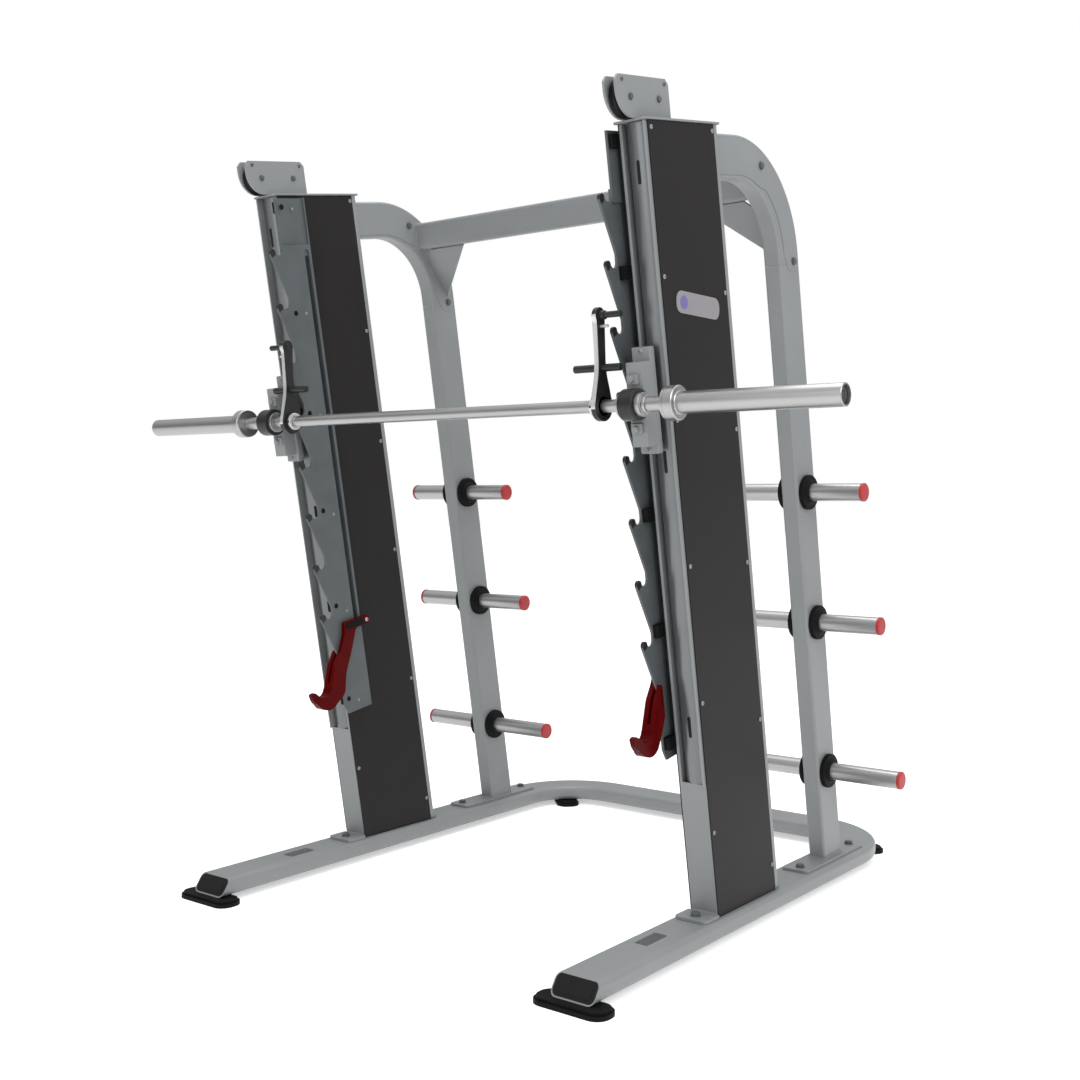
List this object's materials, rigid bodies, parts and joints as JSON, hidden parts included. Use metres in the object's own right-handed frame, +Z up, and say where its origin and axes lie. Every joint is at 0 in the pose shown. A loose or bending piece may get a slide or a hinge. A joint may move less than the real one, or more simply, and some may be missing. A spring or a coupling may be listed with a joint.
{
  "type": "smith machine",
  "caption": "Smith machine with two leaning guide columns, a sliding barbell with hook levers, toothed racks, red safety stops and plate storage horns.",
  "frame": {"origin": "on the floor under the middle of the bounding box", "axes": "+Z up, +X to the right along the bar, -Y towards the front where the user stands"},
  "size_m": [2.284, 1.703, 2.0721],
  "materials": {
    "grey_paint": "light grey powder coat, satin",
    "cover_paint": "grey metallic coat, half gloss",
    "panel_paint": "dark charcoal sheet, matte",
    "rack_paint": "dark grey coat, satin",
    "black_steel": "black oxide",
    "chrome": "satin chrome",
    "cast_iron": "plain",
    "rubber": "matte",
    "black_plastic": "matte",
    "red_paint": "dark red gloss coat"
  },
  "bodies": {
    "frame": {"base_rear_tube": "grey_paint", "crossbar": "grey_paint", "base_rail_left": "grey_paint", "rail_end_cap_left": "black_plastic", "front_foot_left": "rubber", "rear_foot_left": "rubber", "guide_post_left": "grey_paint", "guide_cover_left": "cover_paint", "rear_channel_left": "grey_paint", "inner_panel_left": "panel_paint", "outer_panel_left": "panel_paint", "column_cap_left": "grey_paint", "guide_rod_left": "chrome", "pulley_bracket_inner_left": "grey_paint", "pulley_bracket_outer_left": "grey_paint", "hook_rack_left": "rack_paint", "arch_left": "grey_paint", "upright_left": "grey_paint", "gusset_left": "grey_paint", "storage_horn_top_left": "chrome", "storage_horn_middle_left": "chrome", "storage_horn_bottom_left": "chrome", "base_rail_right": "grey_paint", "rail_end_cap_right": "black_plastic", "front_foot_right": "rubber", "rear_foot_right": "rubber", "guide_post_right": "grey_paint", "guide_cover_right": "cover_paint", "rear_channel_right": "grey_paint", "inner_panel_right": "panel_paint", "outer_panel_right": "panel_paint", "column_cap_right": "grey_paint", "guide_rod_right": "chrome", "pulley_bracket_inner_right": "grey_paint", "pulley_bracket_outer_right": "grey_paint", "hook_rack_right": "rack_paint", "arch_right": "grey_paint", "upright_right": "grey_paint", "gusset_right": "grey_paint", "storage_horn_top_right": "chrome", "storage_horn_middle_right": "chrome", "storage_horn_bottom_right": "chrome"},
    "bar_carriage": {"carriage_left": "grey_paint", "bearing_housing_left": "black_steel", "carriage_right": "grey_paint", "bearing_housing_right": "black_steel"},
    "bar_assembly": {"bar": "chrome", "hook_lever_left": "black_steel", "hook_lever_right": "black_steel"},
    "sleeve_left_body": {"sleeve_left": "chrome"},
    "safety_stop_left_body": {"safety_stop_left": "red_paint"},
    "counterweight_left_body": {"counterweight_left": "cast_iron"},
    "front_pulley_left_body": {"front_pulley_left": "black_plastic"},
    "rear_pulley_left_body": {"rear_pulley_left": "black_plastic"},
    "sleeve_right_body": {"sleeve_right": "chrome"},
    "safety_stop_right_body": {"safety_stop_right": "red_paint"},
    "counterweight_right_body": {"counterweight_right": "cast_iron"},
    "front_pulley_right_body": {"front_pulley_right": "black_plastic"},
    "rear_pulley_right_body": {"rear_pulley_right": "black_plastic"}
  },
  "joints": [
    {"name": "carriage_slide", "type": "slide", "parent": "frame", "child": "bar_carriage", "axis": [0, -0.1736, 0.9848], "range_m": [-0.75, 0.45]},
    {"name": "bar_turn", "type": "hinge", "parent": "bar_carriage", "child": "bar_assembly", "pos_m": [0, -0.58772, 1.31914], "axis": [1, 0, 0], "range_deg": [-11, 25]},
    {"name": "sleeve_left_spin", "type": "hinge", "parent": "bar_assembly", "child": "sleeve_left_body", "pos_m": [-0.93, -0.58772, 1.31914], "axis": [1, 0, 0], "continuous": true},
    {"name": "sleeve_right_spin", "type": "hinge", "parent": "bar_assembly", "child": "sleeve_right_body", "pos_m": [0.93, -0.58772, 1.31914], "axis": [1, 0, 0], "continuous": true},
    {"name": "safety_stop_left_slide", "type": "slide", "parent": "frame", "child": "safety_stop_left_body", "axis": [0, -0.1736, 0.9848], "range_m": [0, 0.75]},
    {"name": "safety_stop_right_slide", "type": "slide", "parent": "frame", "child": "safety_stop_right_body", "axis": [0, -0.1736, 0.9848], "range_m": [0, 0.75]},
    {"name": "counterweight_left_slide", "type": "slide", "parent": "frame", "child": "counterweight_left_body", "axis": [0, -0.1736, 0.9848], "range_m": [-0.45, 0.75]},
    {"name": "counterweight_right_slide", "type": "slide", "parent": "frame", "child": "counterweight_right_body", "axis": [0, -0.1736, 0.9848], "range_m": [-0.45, 0.75]},
    {"name": "front_pulley_left_turn", "type": "hinge", "parent": "frame", "child": "front_pulley_left_body", "pos_m": [-0.621, -0.62846, 1.9994], "axis": [1, 0, 0], "continuous": true},
    {"name": "rear_pulley_left_turn", "type": "hinge", "parent": "frame", "child": "rear_pulley_left_body", "pos_m": [-0.621, -0.51324, 2.01971], "axis": [1, 0, 0], "continuous": true},
    {"name": "front_pulley_right_turn", "type": "hinge", "parent": "frame", "child": "front_pulley_right_body", "pos_m": [0.621, -0.62846, 1.9994], "axis": [1, 0, 0], "continuous": true},
    {"name": "rear_pulley_right_turn", "type": "hinge", "parent": "frame", "child": "rear_pulley_right_body", "pos_m": [0.621, -0.51324, 2.01971], "axis": [1, 0, 0], "continuous": true}
  ],
  "couplings": [
    {"joint": "front_pulley_left_turn", "follows": "carriage_slide", "rad_per_m": -27.027},
    {"joint": "rear_pulley_left_turn", "follows": "carriage_slide", "rad_per_m": -27.027},
    {"joint": "counterweight_left_slide", "follows": "carriage_slide", "ratio": -1},
    {"joint": "front_pulley_right_turn", "follows": "carriage_slide", "rad_per_m": -27.027},
    {"joint": "rear_pulley_right_turn", "follows": "carriage_slide", "rad_per_m": -27.027},
    {"joint": "counterweight_right_slide", "follows": "carriage_slide", "ratio": -1}
  ]
}
